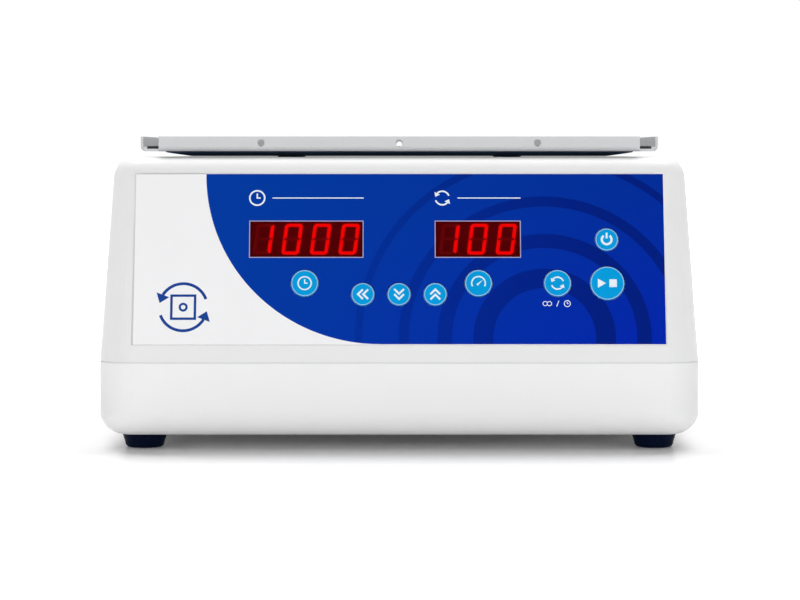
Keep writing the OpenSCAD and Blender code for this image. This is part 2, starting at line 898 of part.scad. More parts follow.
module shaft_clip() {
    color([0.3, 0.3, 0.32]) driven() translate([0, 0, clip_z]) difference() {
        cylinder(d = bearing_bore + 5, h = clip_t);
        translate([0, 0, -past]) cylinder(d = bearing_bore - clip_bite, h = clip_t + 2 * past);
        translate([-1.5, 0, -past]) cube([3, bearing_bore, clip_t + 2 * past]);
    }
}

// Flanged pulley of radius r on the belt's level
module pulley(r) {
    translate([0, 0, pulley_z]) cylinder(r = r, h = pulley_top - pulley_z);
    for (z = [pulley_z, pulley_top - pulley_lip])
        translate([0, 0, z]) cylinder(r = r + pulley_flange, h = pulley_lip);
}

module crank_pulley() {
    through = pulley_top - pulley_z + 2 * past;
    color("silver") driven() difference() {
        pulley(pulley_r);
        translate([0, 0, pulley_z - past]) {
            cylinder(d = shaft_nose_d, h = through);
            translate([0, orbit_r, 0]) cylinder(d = pin_root_d, h = through);
            // Lightening holes
            for (a = [-40, 0, 40]) rotate(a)
                translate([0, pulley_r - pulley_hole_in, 0]) cylinder(d = pulley_hole_d, h = through);
        }
        at_weight_screws() translate([0, 0, pulley_top - weight_bite - past])
            cylinder(d = screw_d, h = weight_bite + 2 * past);
    }
}

// Repeats its children at the two screws of the counterweight
module at_weight_screws() {
    for (x = [-1, 1]) translate([x * weight_screw_x, -weight_screw_y, 0]) children();
}

module counterweight() {
    color([0.35, 0.36, 0.38]) driven() translate([0, 0, pulley_top]) difference() {
        intersection() {
            cylinder(r = pulley_r - 3, h = weight_h);
            translate([-pulley_r, -pulley_r - weight_back, 0]) cube([2 * pulley_r, pulley_r, weight_h]);
        }
        at_weight_screws() {
            translate([0, 0, -past]) cylinder(d = screw_d + 0.2, h = weight_h + 2 * past);
            translate([0, 0, weight_h - weight_head_sink])
                cylinder(d = head_room_d, h = weight_head_sink + past);
        }
    }
}

module weight_screws() {
    color(steel) driven() at_weight_screws()
        translate([0, 0, pulley_top + weight_h - weight_head_sink])
            screw(screw_d, weight_h - weight_head_sink + weight_bite);
}

module crank_pin() {
    color("silver") driven() translate([0, orbit_r, 0]) {
        translate([0, 0, pulley_z]) cylinder(d = pin_root_d, h = pulley_top - pulley_z + past);
        translate([0, 0, pulley_top]) cylinder(d = pin_collar_d, h = pin_bearing_z - air - pulley_top);
        translate([0, 0, pin_bearing_z - past]) cylinder(d = pin_d, h = pin_bearing_h + past + 0.2);
    }
}

module motor_shaft() {
    color("silver") driven() translate([0, motor_y, deck_z - shaft_sink])
        cylinder(d = motor_shaft_d, h = pulley_top - deck_z + shaft_sink);
}

module motor_pulley() {
    color("silver") driven() translate([0, motor_y, 0]) difference() {
        pulley(pinion_r);
        translate([0, 0, pulley_z - past]) cylinder(d = motor_shaft_d, h = pulley_top - pulley_z + 2 * past);
    }
}

// Small crank: a pin down into its fixed bush, an arm, and a pin up into the orbiting deck
module idler(sx, sy) {
    color("silver") driven() translate([sx * idler_x, sy * idler_y, 0]) {
        translate([0, 0, deck_z + bush_floor + 0.5])
            cylinder(d = idler_pin_d, h = idler_arm_z + 0.5 - deck_z - bush_floor);
        translate([0, 0, idler_arm_z]) linear_extrude(height = idler_arm_t) {
            circle(idler_web_r);
            translate([0, orbit_r]) circle(idler_web_r);
            translate([-idler_web_r, 0]) square([2 * idler_web_r, orbit_r]);
        }
        translate([0, orbit_r, idler_arm_z + past]) {
            cylinder(d = idler_pin_d, h = orbit_top - 0.3 - idler_arm_z - past);
            cylinder(d = idler_collar_d, h = orbit_z - air - bush_flange_t - idler_arm_z - past);
        }
    }
}

module idler_front_left() {
    idler(-1, -1);
}

module idler_front_right() {
    idler(1, -1);
}

module idler_back_left() {
    idler(-1, 1);
}

module idler_back_right() {
    idler(1, 1);
}

// ---------- Orbiting deck and tray ----------

module orbit_plate() {
    through = orbit_t + 2 * past;
    color(steel) orbiting() difference() {
        union() {
            translate([0, 0, orbit_z]) linear_extrude(height = orbit_t)
                round_rect(orbit_w, orbit_d, plate_corner_r);
            translate([0, 0, pin_bearing_z]) cylinder(d = hub_d, h = orbit_top - pin_bearing_z);
        }
        translate([0, 0, pin_bearing_z - past]) cylinder(d = pin_bearing_d, h = pin_bearing_h + past);
        translate([0, 0, orbit_z]) cylinder(d = pin_d * 2, h = through);
        translate([0, 0, orbit_z - past]) {
            at_corners(idler_x, idler_y) cylinder(d = bush_d, h = through);
            at_corners(post_reach, post_reach) cylinder(d = screw_d + 0.2, h = through);
            // Lightening holes
            at_corners(orbit_hole, orbit_hole) cylinder(d = orbit_hole_d, h = through);
            for (x = [-1, 1]) translate([x * orbit_side_hole, 0, 0]) cylinder(d = orbit_hole_d, h = through);
        }
    }
}

module pin_bearing() {
    color("silver") orbiting() translate([0, 0, pin_bearing_z]) bearing(pin_bearing_d, pin_d, pin_bearing_h);
}

module orbit_bushes() {
    bush_low = orbit_z - bush_flange_t;
    color("goldenrod") orbiting() at_corners(idler_x, idler_y) difference() {
        union() {
            translate([0, 0, bush_low]) cylinder(d = bush_d + 4, h = bush_flange_t);
            translate([0, 0, bush_low]) cylinder(d = bush_d, h = orbit_top - bush_low);
        }
        translate([0, 0, bush_low - past])
            cylinder(d = idler_pin_d + 2 * run_fit, h = orbit_top - bush_low + 2 * past);
    }
}

module tray_posts() {
    color(dark_rubber) orbiting() at_corners(post_reach, post_reach) difference() {
        translate([0, 0, orbit_top]) cylinder(d = post_d, h = carrier_z - orbit_top);
        translate([0, 0, orbit_top - past]) cylinder(d = screw_d, h = tray_bite + 2.6);
        translate([0, 0, carrier_z - tray_bite - 1.6]) cylinder(d = screw_d, h = tray_bite + 1.6 + past);
    }
}

module post_screws() {
    color(steel) orbiting() at_corners(post_reach, post_reach)
        translate([0, 0, orbit_z]) mirror([0, 0, 1]) screw(screw_d, orbit_t + tray_bite + 0.6);
}

// What its children and their quarter turn have in common
module for_both_ways() {
    intersection() {
        children();
        rotate(90) children();
    }
}

module carrier_plate() {
    color(dark_rubber) orbiting() translate([0, 0, carrier_z]) difference() {
        intersection() {
            linear_extrude(height = carrier_t) round_rect(carrier_w, carrier_w, carrier_corner_r);
            for_both_ways() rotate([90, 0, 0])
                linear_extrude(height = carrier_w + 2 * past, center = true) polygon([
                    [carrier_slope - carrier_w / 2, 0], [carrier_w / 2 - carrier_slope, 0],
                    [carrier_w / 2, carrier_t - carrier_rim], [carrier_w / 2, carrier_t + past],
                    [-carrier_w / 2, carrier_t + past], [-carrier_w / 2, carrier_t - carrier_rim]
                ]);
        }
        at_corners(post_reach, post_reach) translate([0, 0, -past])
            cylinder(d = screw_d + 0.2, h = carrier_t + 2 * past);
    }
}

// One flange of the tray along X, standing at y = -tray_w / 2
module tray_flange() {
    len = tray_w - 2 * tray_notch;
    difference() {
        translate([0, -tray_w / 2, 0]) rotate([90, 0, 90]) linear_extrude(height = len, center = true) {
            translate([0, bend_r]) square([sheet_t, flange_h - bend_r]);
            intersection() {
                difference() {
                    translate([bend_r, bend_r]) circle(bend_r);
                    translate([bend_r, bend_r]) circle(bend_r - sheet_t);
                }
                square(bend_r);
            }
        }
        for (x = [-tie_pitch, 0, tie_pitch])
            translate([x, -tray_w / 2 - past, flange_h / 2 + tie_rise])
                rotate([-90, 0, 0]) cylinder(d = tie_d, h = sheet_t + 2 * past);
    }
}

module tray() {
    inner_w = tray_w - 2 * bend_r;
    color(steel) orbiting() translate([0, 0, tray_z]) difference() {
        union() {
            translate([0, 0, sheet_t / 2]) cube([inner_w, inner_w, sheet_t], center = true);
            for (a = [0 : 90 : 270]) rotate(a) tray_flange();
        }
        at_corners(post_reach, post_reach) translate([0, 0, -past])
            cylinder(d = screw_d + 0.2, h = sheet_t + 2 * past);
    }
}

module tray_mat() {
    mat_w = tray_w - 2 * (bend_r + mat_gap);
    color(dark_rubber) orbiting() translate([0, 0, tray_z + sheet_t]) difference() {
        linear_extrude(height = mat_t) round_rect(mat_w, mat_w, mat_corner_r);
        at_corners(post_reach, post_reach) translate([0, 0, -past])
            cylinder(d = mat_hole_d, h = mat_t + 2 * past);
    }
}

module tray_screws() {
    color(steel) orbiting() at_corners(post_reach, post_reach)
        translate([0, 0, tray_z + sheet_t]) screw(screw_d, sheet_t + carrier_t + tray_bite);
}

base_tub();
upper_cover();
cover_screws();
feet();
foot_screws();
power_jack();
jack_nut();
deck_plate();
deck_posts();
deck_screws();
deck_post_screws();
main_housing();
main_bearings();
housing_screws();
idler_housings();
idler_bushes();
motor();
motor_screws();
drive_belt();
driver_board();
driver_spacers();
driver_screws();
control_panel();
time_window();
speed_window();
time_display();
speed_display();
control_board();
board_screws();
crank_shaft();
shaft_clip();
crank_pulley();
counterweight();
weight_screws();
crank_pin();
motor_shaft();
motor_pulley();
idler_front_left();
idler_front_right();
idler_back_left();
idler_back_right();
orbit_plate();
pin_bearing();
orbit_bushes();
tray_posts();
post_screws();
carrier_plate();
tray();
tray_mat();
tray_screws();
key_timer();
key_left();
key_down();
key_up();
key_speed();
key_mode();
key_power();
key_start();
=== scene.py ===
"""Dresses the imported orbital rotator: finishes, printed symbols, lit digits, floor, light and camera."""

import json
import math

import bmesh
import bpy
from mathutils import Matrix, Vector


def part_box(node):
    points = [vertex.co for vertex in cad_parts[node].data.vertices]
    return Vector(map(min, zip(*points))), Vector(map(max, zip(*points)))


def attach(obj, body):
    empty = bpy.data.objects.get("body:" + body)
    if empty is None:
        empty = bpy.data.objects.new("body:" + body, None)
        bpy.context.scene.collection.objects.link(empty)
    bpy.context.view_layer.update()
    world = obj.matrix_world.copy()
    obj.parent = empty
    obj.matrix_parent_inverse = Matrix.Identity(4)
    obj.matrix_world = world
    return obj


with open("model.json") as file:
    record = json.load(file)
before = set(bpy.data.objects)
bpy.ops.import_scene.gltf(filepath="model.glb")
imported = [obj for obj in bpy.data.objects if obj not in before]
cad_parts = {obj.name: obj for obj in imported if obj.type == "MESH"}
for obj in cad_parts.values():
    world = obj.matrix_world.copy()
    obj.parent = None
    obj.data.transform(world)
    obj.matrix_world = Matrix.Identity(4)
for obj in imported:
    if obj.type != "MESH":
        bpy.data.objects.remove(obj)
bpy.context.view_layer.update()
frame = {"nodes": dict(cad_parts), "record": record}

MM = 0.001

# Camera: as far from the instrument as the photograph's, level with the top of the cover.
# Its place is in metres, its pitch in degrees, and its lens and sensor in millimetres.
CAMERA_PLACE = (0.0, -1.3675, 0.1313)
CAMERA_PITCH = -2.985
CAMERA_LENS = 126.86
CAMERA_SENSOR = 36.0
CAMERA_SHIFT_X = 0.0009

# Control face: how far it leans back, and how far the film's middle lies out of its plane, in millimetres
FACE_LEAN = math.radians(15)
FILM_MIDDLE = -0.2
ACROSS = Vector((1, 0, 0))
UP_SLOPE = Vector((0, math.sin(FACE_LEAN), math.cos(FACE_LEAN)))
OUTWARDS = Vector((0, -math.cos(FACE_LEAN), math.sin(FACE_LEAN)))

# Prints start a little inside the surface that carries them, and stand out of it, in millimetres
PRINT_SINK = 0.01
PRINT_HEIGHT = 0.04


# ---------- Places ----------

def node_middle(name):
    low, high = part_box(name)
    return (low + high) / 2


FACE_MIDDLE = node_middle("control_panel") - OUTWARDS * FILM_MIDDLE * MM


def on_face(u, v, w):
    """The point u across, v up the slope and w out of the control face, all in millimetres."""
    return FACE_MIDDLE + (ACROSS * u + UP_SLOPE * v + OUTWARDS * w) * MM


def face_box(name):
    """Lowest and highest u, v and w of a node on the control face, in millimetres."""
    places = [vertex.co - FACE_MIDDLE for vertex in frame["nodes"][name].data.vertices]
    spans = [[place.dot(axis) / MM for place in places] for axis in (ACROSS, UP_SLOPE, OUTWARDS)]
    return [min(span) for span in spans], [max(span) for span in spans]


# ---------- Node helpers ----------

# Sockets of the colour form of the Mix node
MIX_FACTOR = 0
MIX_FIRST = 6
MIX_SECOND = 7
MIX_RESULT = 2

NOISE_DETAIL = 3.0
MOTTLE_LOW = 0.3
MOTTLE_HIGH = 0.7
WHITE_LIGHT = (1.0, 1.0, 1.0, 1.0)


def linear(red, green, blue):
    """Linear colour of three sRGB values from 0 to 255."""
    out = []
    for value in (red, green, blue):
        share = value / 255
        out.append(share / 12.92 if share <= 0.04045 else ((share + 0.055) / 1.055) ** 2.4)
    return (*out, 1.0)


class Value:
    """A number in a node tree; arithmetic on it adds math nodes."""

    def __init__(self, tree, socket):
        self.tree = tree
        self.socket = socket

    def do(self, operation, *others):
        made = self.tree.nodes.new("ShaderNodeMath")
        made.operation = operation
        for entry, item in zip(made.inputs, (self, *others)):
            connect(self.tree, item, entry)
        return Value(self.tree, made.outputs[0])

    def __add__(self, other):
        return self.do("ADD", other)

    def __sub__(self, other):
        return self.do("SUBTRACT", other)

    def __mul__(self, other):
        return self.do("MULTIPLY", other)

    def __truediv__(self, other):
        return self.do("DIVIDE", other)

    def __abs__(self):
        return self.do("ABSOLUTE")

    def above(self, other):
        return self.do("GREATER_THAN", other)

    def below(self, other):
        return self.do("LESS_THAN", other)

    def largest(self, other):
        return self.do("MAXIMUM", other)

    def ramp(self, low, high):
        """0 at low, 1 at high, and straight between them."""
        made = self.tree.nodes.new("ShaderNodeMapRange")
        connect(self.tree, self, made.inputs["Value"])
        made.inputs["From Min"].default_value = low
        made.inputs["From Max"].default_value = high
        return Value(self.tree, made.outputs[0])

    def spread(self, low, high):
        """The 0 to 1 value moved to the range from low to high."""
        made = self.tree.nodes.new("ShaderNodeMapRange")
        connect(self.tree, self, made.inputs["Value"])
        made.inputs["To Min"].default_value = low
        made.inputs["To Max"].default_value = high
        return Value(self.tree, made.outputs[0])


def connect(tree, item, entry):
    if isinstance(item, Value):
        tree.links.new(item.socket, entry)
    elif isinstance(item, bpy.types.NodeSocket):
        tree.links.new(item, entry)
    else:
        entry.default_value = item


def blend(tree, factor, first, second):
    """Colour between first and second."""
    made = tree.nodes.new("ShaderNodeMix")
    made.data_type = "RGBA"
    made.clamp_factor = True
    for index, item in ((MIX_FACTOR, factor), (MIX_FIRST, first), (MIX_SECOND, second)):
        connect(tree, item, made.inputs[index])
    return made.outputs[MIX_RESULT]


def shaded(color, share):
    """The colour times share, none of its channels over 1."""
    return tuple(min(1.0, channel * share) for channel in color[:3]) + (1.0,)


class Finish:
    """A material under construction: object coordinates in metres, noise, colour, roughness and bump."""

    def __init__(self, name, roughness, metallic=0.0, specular=0.5):
        self.material = bpy.data.materials.new(name)
        self.material.use_nodes = True
        self.tree = self.material.node_tree
        self.shader = self.tree.nodes["Principled BSDF"]
        self.shader.inputs["Metallic"].default_value = metallic
        self.shader.inputs["Specular IOR Level"].default_value = specular
        self.roughness = roughness
        self.place = self.tree.nodes.new("ShaderNodeTexCoord").outputs["Object"]

    def noise(self, scale, stretch=(1, 1, 1)):
        mapping = self.tree.nodes.new("ShaderNodeMapping")
        self.tree.links.new(self.place, mapping.inputs["Vector"])
        mapping.inputs["Scale"].default_value = stretch
        made = self.tree.nodes.new("ShaderNodeTexNoise")
        self.tree.links.new(mapping.outputs[0], made.inputs["Vector"])
        made.inputs["Scale"].default_value = scale
        made.inputs["Detail"].default_value = NOISE_DETAIL
        return Value(self.tree, made.outputs["Fac"])

    def axis(self, index):
        made = self.tree.nodes.new("ShaderNodeSeparateXYZ")
        self.tree.links.new(self.place, made.inputs[0])
        return Value(self.tree, made.outputs[index])

    def color(self, value):
        connect(self.tree, value, self.shader.inputs["Base Color"])

    def mottle(self, color, amount, scale=60.0):
        """Colour that wanders a little to both sides of the one given."""
        wander = self.noise(scale).ramp(MOTTLE_LOW, MOTTLE_HIGH)
        return blend(self.tree, wander, shaded(color, 1 - amount), shaded(color, 1 + amount))

    def rough(self, source, spread):
        """Roughness that follows the source, up to spread to both sides of the finish's own."""
        value = source.spread(self.roughness - spread, self.roughness + spread)
        connect(self.tree, value, self.shader.inputs["Roughness"])

    def bump(self, source, depth):
        """Relief that follows the source, to a depth in metres."""
        made = self.tree.nodes.new("ShaderNodeBump")
        connect(self.tree, source, made.inputs["Height"])
        made.inputs["Strength"].default_value = 1.0
        made.inputs["Distance"].default_value = depth
        self.tree.links.new(made.outputs[0], self.shader.inputs["Normal"])


def grained(finish, grain, spread, depth, stretch=(1, 1, 1)):
    """Gives the finish a grain in roughness and relief, which stretch draws out into brushing."""
    texture = finish.noise(grain, stretch)
    finish.rough(texture, spread)
    finish.bump(texture, depth)
    return finish.material


def plain_finish(name, color, roughness, metallic=0.0, specular=0.5, mottle=0.03,
                 grain=1400.0, depth=0.000004, stretch=(1, 1, 1)):
    """Moulded, painted, rubber or metal surface of one colour."""
    finish = Finish(name, roughness, metallic, specular)
    finish.color(finish.mottle(color, mottle))
    return grained(finish, grain, 0.05, depth, stretch)


# ---------- Materials of the CAD nodes ----------

BRUSHED_X = (0.03, 1, 1)
BRUSHED_Z = (1, 1, 0.03)
FINE_GRAIN = 2600.0
SHELL_WHITE = linear(238, 238, 238)
# Grey of the painted shade at the bottom of the groove between the shell's halves
SEAM_SHADE_GREY = linear(224, 224, 227)
SEAM_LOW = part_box("upper_cover")[0].z
SEAM_HEIGHT = 0.5 * MM
FILM_WHITE = linear(250, 250, 251)
# Grey of the painted shade along the film's left and top edges
EDGE_SHADE_GREY = linear(214, 214, 214)


def shell_finish():
    """White moulded shell, with painted shade at the bottom of the groove between its two halves."""
    finish = Finish("shell", 0.42, specular=0.4)
    height = finish.axis(2)
    # Painted shade: a grey band over the groove's height, just above the cover's lowest point
    groove_shade_mask = height.above(SEAM_LOW) * height.below(SEAM_LOW + SEAM_HEIGHT)
    finish.color(blend(finish.tree, groove_shade_mask, finish.mottle(SHELL_WHITE, 0.006), SEAM_SHADE_GREY))
    return grained(finish, 1500.0, 0.05, 0.000006)


MAT_PITCH = 3.0 * MM
MAT_RELIEF = 0.3 * MM
MAT_GRAIN_SHARE = 0.3


def mat_finish():
    """Black rubber with close moulded ribs that cross."""
    finish = Finish("mat_rubber", 0.62, specular=0.3)
    finish.color(finish.mottle(linear(30, 30, 33), 0.12, scale=90.0))
    rows = [(finish.axis(index) * (2 * math.pi / MAT_PITCH)).do("SINE") for index in (0, 1)]
    ribs = rows[0].largest(rows[1])
    finish.rough(finish.noise(700.0), 0.08)
    finish.bump(ribs + finish.noise(900.0) * MAT_GRAIN_SHARE, MAT_RELIEF)
    return finish.material


BOARD_TRACKS = {
    "Scale": 120.0,
    "Mortar Size": 0.03,
    "Brick Width": 0.9,
    "Row Height": 0.3,
    "Color1": linear(18, 92, 52),
    "Color2": linear(14, 80, 46),
    "Mortar": linear(60, 140, 84),
}


def board_finish():
    """Green solder mask with paler tracks."""
    finish = Finish("circuit_board", 0.35)
    tracks = finish.tree.nodes.new("ShaderNodeTexBrick")
    finish.tree.links.new(finish.place, tracks.inputs["Vector"])
    for name, value in BOARD_TRACKS.items():
        tracks.inputs[name].default_value = value
    finish.color(tracks.outputs["Color"])
    return grained(finish, 500.0, 0.06, 0.00001)


# Artwork of the film, in millimetres across and up the face from its middle
ART_EDGE = 0.05
PANEL_BORDER = 0.2
# Width of the painted shade along the film's left and top edges
EDGE_SHADE_WIDTH = 0.45
ARC_MIDDLE = (-8.6, 38.7)
ARC_RADIUS = 77.3
RIPPLE_MIDDLE = (64.0, -36.0)
RIPPLES = ((27.0, 4.6), (44.0, 3.4), (62.0, 2.5), (82.0, 1.8))  # Radius and half width of each
RIPPLE_EDGE = 0.4
RIPPLE_FADE_FROM = -30.0
RIPPLE_FADE_TO = 90.0
RIPPLE_WEAKEST = 0.25
RIPPLE_STRONGEST = 0.95
BLUE_LEFT = linear(1, 60, 164)
BLUE_TOP_RIGHT = linear(0, 47, 156)
BLUE_LOW_RIGHT = linear(0, 38, 176)
RIPPLE_BLUE = linear(0, 30, 128)
WASH_LEFT = -85.0
WASH_RIGHT = 110.0


def face_coordinates(finish):
    """Values u and v of the control face, in millimetres, from the object coordinates."""
    across = finish.axis(0) / MM
    made = finish.tree.nodes.new("ShaderNodeVectorMath")
    made.operation = "DOT_PRODUCT"
    finish.tree.links.new(finish.place, made.inputs[0])
    made.inputs[1].default_value = UP_SLOPE / MM
    up = Value(finish.tree, made.outputs["Value"]) - FACE_MIDDLE.dot(UP_SLOPE) / MM
    return across, up


def distance(u, v, middle):
    """How far a point of the face is from middle."""
    du = u - middle[0]
    dv = v - middle[1]
    return (du * du + dv * dv).do("SQRT")


def panel_finish():
    """Printed film: white outside a quarter circle at the left, and blue with broad darker ripples; painted
    shade along its left and top edges.
    """
    finish = Finish("panel_film", 0.45, specular=0.02)
    tree = finish.tree
    u, v = face_coordinates(finish)
    low, high = face_box("control_panel")
    right, top = high[:2]

    wash = u.ramp(WASH_LEFT, WASH_RIGHT)
    upper = blend(tree, wash, BLUE_LEFT, BLUE_TOP_RIGHT)
    lower = blend(tree, wash, BLUE_LEFT, BLUE_LOW_RIGHT)
    blue = blend(tree, v.ramp(low[1], top), lower, upper)

    out = distance(u, v, RIPPLE_MIDDLE)
    ripples = None
    for radius, half_width in RIPPLES:
        ring = abs(out - radius).ramp(half_width, half_width - RIPPLE_EDGE)
        ripples = ring if ripples is None else ripples.largest(ring)
    strength = u.ramp(RIPPLE_FADE_FROM, RIPPLE_FADE_TO).spread(RIPPLE_WEAKEST, RIPPLE_STRONGEST)
    blue = blend(tree, ripples * strength, blue, RIPPLE_BLUE)

    outside_arc = distance(u, v, ARC_MIDDLE).ramp(ARC_RADIUS - ART_EDGE, ARC_RADIUS + ART_EDGE)
    white_field = outside_arc * u.below(ARC_MIDDLE[0])
    border = abs(u).above(right - PANEL_BORDER).largest(abs(v).above(top - PANEL_BORDER))
    # Painted shade: a grey line along the film's left and top edges, where the recess throws shade
    outline = u.below(EDGE_SHADE_WIDTH - right).largest(v.above(top - EDGE_SHADE_WIDTH))
    white = blend(tree, outline, FILM_WHITE, EDGE_SHADE_GREY)
    finish.color(blend(tree, white_field, blend(tree, border, blue, FILM_WHITE), white))

    return grained(finish, FINE_GRAIN, 0.05, 0.000002)


WINDOW_ALPHA = 0.45


def window_finish():
    """Dark red see-through film."""
    finish = Finish("window_film", 0.25, specular=0.02)
    finish.color(finish.mottle(linear(70, 0, 4), 0.05, scale=40.0))
    finish.shader.inputs["Alpha"].default_value = WINDOW_ALPHA
    finish.rough(finish.noise(1500.0), 0.04)
    return finish.material


def display_finish():
    """Face of a digit module, in the red of its light; the film in front darkens it."""
    finish = Finish("display_black", 0.6, specular=0.0)
    finish.color(finish.mottle(linear(178, 2, 4), 0.1, scale=120.0))
    return grained(finish, 900.0, 0.06, 0.00001)


# Colour, roughness and other values of the surfaces of one colour
PLAIN_FINISHES = {
    # Navy black rubber; part of its blue is a painted sheen for the lit sides of the feet
    "foot_rubber": dict(color=linear(3, 14, 38), roughness=0.55, specular=0.06, mottle=0.15),
    "screw_steel": dict(color=linear(196, 198, 202), roughness=0.3, metallic=1.0),
    "jack_black": dict(color=linear(26, 26, 28), roughness=0.42, mottle=0.1),
    "nut_steel": dict(color=linear(198, 197, 192), roughness=0.24, metallic=1.0),
    "deck_metal": dict(color=linear(206, 208, 212), roughness=0.36, metallic=1.0,
                       grain=900.0, stretch=BRUSHED_X),
    "cast_housing": dict(color=linear(184, 186, 190), roughness=0.44, metallic=1.0,
                         grain=700.0, depth=0.00001),
    "bearing_steel": dict(color=linear(214, 216, 220), roughness=0.16, metallic=1.0),
    "bronze": dict(color=linear(188, 146, 84), roughness=0.4, metallic=1.0, mottle=0.1, grain=1800.0),
    "motor_case": dict(color=linear(44, 45, 50), roughness=0.45, mottle=0.08),
    "belt_rubber": dict(color=linear(28, 28, 30), roughness=0.7, specular=0.3, mottle=0.12),
    "key_film": dict(color=linear(2, 160, 226), roughness=0.45, specular=0.03,
                     mottle=0.02, grain=FINE_GRAIN, depth=0.000002),
    "shaft_steel": dict(color=linear(208, 210, 214), roughness=0.2, metallic=1.0, stretch=BRUSHED_Z),
    "pulley_metal": dict(color=linear(204, 206, 210), roughness=0.32, metallic=1.0, stretch=BRUSHED_Z),
    "weight_iron": dict(color=linear(92, 93, 96), roughness=0.5, metallic=1.0, mottle=0.1, depth=0.00001),
    "post_black": dict(color=linear(20, 22, 30), roughness=0.45, specular=0.4, mottle=0.1),
    # Plate under the tray; its slate blue is painted shade, the bluish dark of the gap under the tray
    "carrier_black": dict(color=linear(58, 86, 116), roughness=0.6, specular=0.2, mottle=0.1),
    "tray_metal": dict(color=linear(198, 199, 201), roughness=0.34, specular=0.5,
                       mottle=0.012, grain=800.0, depth=0.000003),
}

FINISHES = {name: plain_finish(name, **values) for name, values in PLAIN_FINISHES.items()}
FINISHES.update({
    "shell": shell_finish(),
    "circuit_board": board_finish(),
    "panel_film": panel_finish(),
    "window_film": window_finish(),
    "display_black": display_finish(),
    "mat_rubber": mat_finish(),
})

for part in frame["record"]["subparts"]:
    holder = frame["nodes"][part["node"]]
    holder.data.materials.clear()
    holder.data.materials.append(FINISHES[part["material_slot"]])


# ---------- Flat shapes for printed symbols and digits ----------

def arc(radius, start, end, middle=(0.0, 0.0), count=32):
    """Points on an arc, its angles in degrees."""
    steps = [math.radians(start + (end - start) * index / count) for index in range(count + 1)]
    return [(middle[0] + radius * math.cos(step), middle[1] + radius * math.sin(step)) for step in steps]


def turned(points, degrees):
    cosine = math.cos(math.radians(degrees))
    sine = math.sin(math.radians(degrees))
    return [(x * cosine - y * sine, x * sine + y * cosine) for x, y in points]


def moved(points, across, up):
    return [(x + across, y + up) for x, y in points]


def stroke(points, width, closed=False):
    """A line of that width along the points, as its left and right edges with mitred corners."""
    count = len(points)
    edges = ([], [])
    for index, point in enumerate(points):
        before = points[index - 1] if closed or index > 0 else None
        after = points[(index + 1) % count] if closed or index < count - 1 else None
        normals = []
        for start, end in ((before, point), (point, after)):
            if start is not None and end is not None:
                heading = (Vector(end) - Vector(start)).normalized()
                normals.append(Vector((-heading.y, heading.x)))
        normal = sum(normals, Vector((0, 0))).normalized()
        reach = width / 2 / normal.dot(normals[0])
        for edge, side in zip(edges, (1, -1)):
            edge.append((point[0] + normal.x * reach * side, point[1] + normal.y * reach * side))
    return {"left": edges[0], "right": edges[1], "closed": closed}


def circle(radius, width, middle=(0.0, 0.0)):
    return stroke(arc(radius, 0, 360, middle, count=64)[:-1], width, closed=True)


def patch(points):
    return {"outline": points}


def shifted(shape, across, up):
    out = dict(shape)
    for key, value in shape.items():
        if isinstance(value, list):
            out[key] = moved(value, across, up)
    return out


def edge_points(mesh, points, height):
    return [mesh.verts.new(on_face(x, y, height)) for x, y in points]


def add_patch(mesh, outline, low, high):
    """Adds a closed prism over the outline, between two heights over the control face."""
    bottom = edge_points(mesh, outline, low)
    top = edge_points(mesh, outline, high)
    mesh.faces.new(list(reversed(bottom)))
    mesh.faces.new(top)
    count = len(bottom)
    for index in range(count):
        after = (index + 1) % count
        mesh.faces.new((bottom[index], bottom[after], top[after], top[index]))


def add_stroke(mesh, shape, low, high):
    """Adds a stroke as a closed bar or ring, between two heights over the control face."""
    left = shape["left"]
    right = shape["right"]
    left_low = edge_points(mesh, left, low)
    left_high = edge_points(mesh, left, high)
    right_low = edge_points(mesh, right, low)
    right_high = edge_points(mesh, right, high)
    loop = (left_high, left_low, right_low, right_high)
    count = len(left)
    for index in range(count if shape["closed"] else count - 1):
        after = (index + 1) % count
        for first, second in zip(loop, loop[1:] + loop[:1]):
            mesh.faces.new((first[index], second[index], second[after], first[after]))
    if not shape["closed"]:
        mesh.faces.new([edge[0] for edge in reversed(loop)])
        mesh.faces.new([edge[-1] for edge in loop])


def face_piece(name, shapes, low, high, body, material):
    """One object made of flat shapes that lie on the control face or on a key."""
    mesh = bmesh.new()
    for shape in shapes:
        if "outline" in shape:
            add_patch(mesh, shape["outline"], low, high)
        else:
            add_stroke(mesh, shape, low, high)
    bmesh.ops.recalc_face_normals(mesh, faces=mesh.faces)
    data = bpy.data.meshes.new(name)
    mesh.to_mesh(data)
    mesh.free()
    data.materials.append(material)
    piece = bpy.data.objects.new(name, data)
    bpy.context.scene.collection.objects.link(piece)
    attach(piece, body)


# ---------- Symbols of the keys, in millimetres ----------

def ink(name, color, mottle=0.03):
    return plain_finish(name, color, 0.45, specular=0.1, mottle=mottle, grain=FINE_GRAIN)


INK_WHITE = ink("ink_white", linear(238, 246, 252), mottle=0.02)
INK_RIM = ink("ink_rim", linear(178, 208, 246))
INK_FRAME = ink("ink_frame", linear(178, 172, 208))
INK_BLUE = ink("ink_blue", linear(16, 66, 150))

BOLD = 0.85
MINUTE_HAND = 0.62
HOUR_HAND = 0.46
HAND_WIDTH = 0.9
HEAD_HALF_WIDTH = 0.75
TURN_STARTS = (20, 200)
TURN_SWEEP = 150


def chevrons(degrees):
    """Two nested arrow heads, pointing left and then turned."""
    head = [(1.25, 2.15), (-0.9, 0.0), (1.25, -2.15)]
    return [stroke(turned(moved(head, offset, 0), degrees), BOLD) for offset in (-1.25, 1.1)]


def arrow_head(tip, degrees, size):
    side = size * HEAD_HALF_WIDTH
    return patch(moved(turned([(0, 0), (-size, side), (-size, -side)], degrees), *tip))


